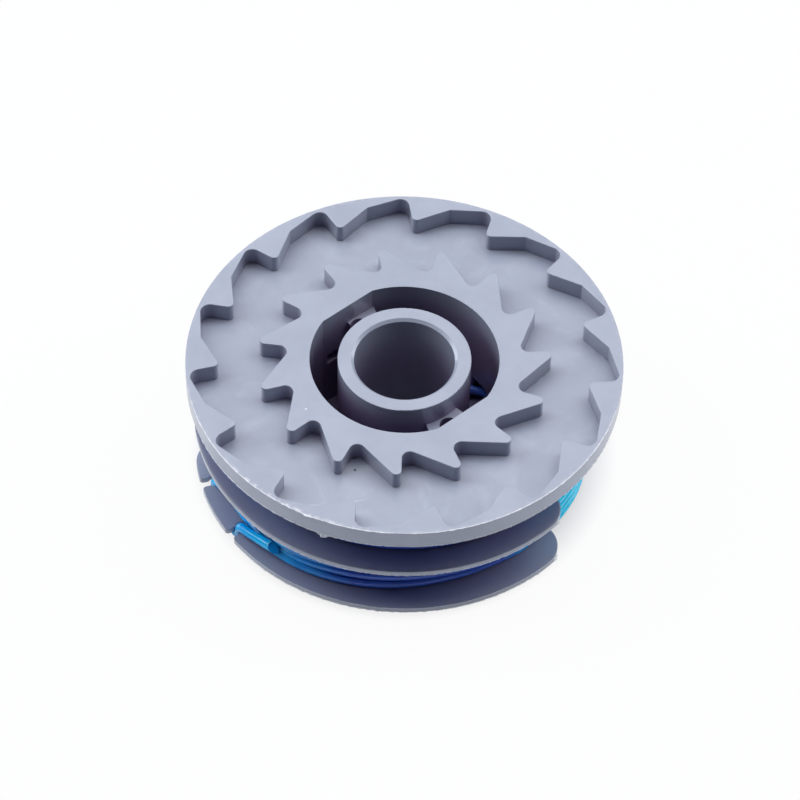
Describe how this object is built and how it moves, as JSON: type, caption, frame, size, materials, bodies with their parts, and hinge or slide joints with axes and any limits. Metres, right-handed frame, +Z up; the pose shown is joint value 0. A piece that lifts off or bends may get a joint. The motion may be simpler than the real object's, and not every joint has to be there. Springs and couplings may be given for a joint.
{
  "type": "trimmer line spool",
  "caption": "Round grey spool with winged flanges, ratchet teeth in its top flange and a central bore, wound with blue nylon cutting line for a grass trimmer head.",
  "frame": {"origin": "on the bore's axis, at the height of the lowest point, which is the loop of line under the bottom flange", "axes": "+Z up along the bore, with the ratchet teeth on top; -Y towards the side that shows the end of the lower line"},
  "size_m": [0.07, 0.07, 0.0236],
  "materials": {
    "grey_moulding": "semi-matte moulded surface",
    "blue_line": "smooth drawn nylon"
  },
  "bodies": {
    "root": {"spool": "grey_moulding", "lower_line": "blue_line", "upper_line": "blue_line"}
  },
  "joints": []
}
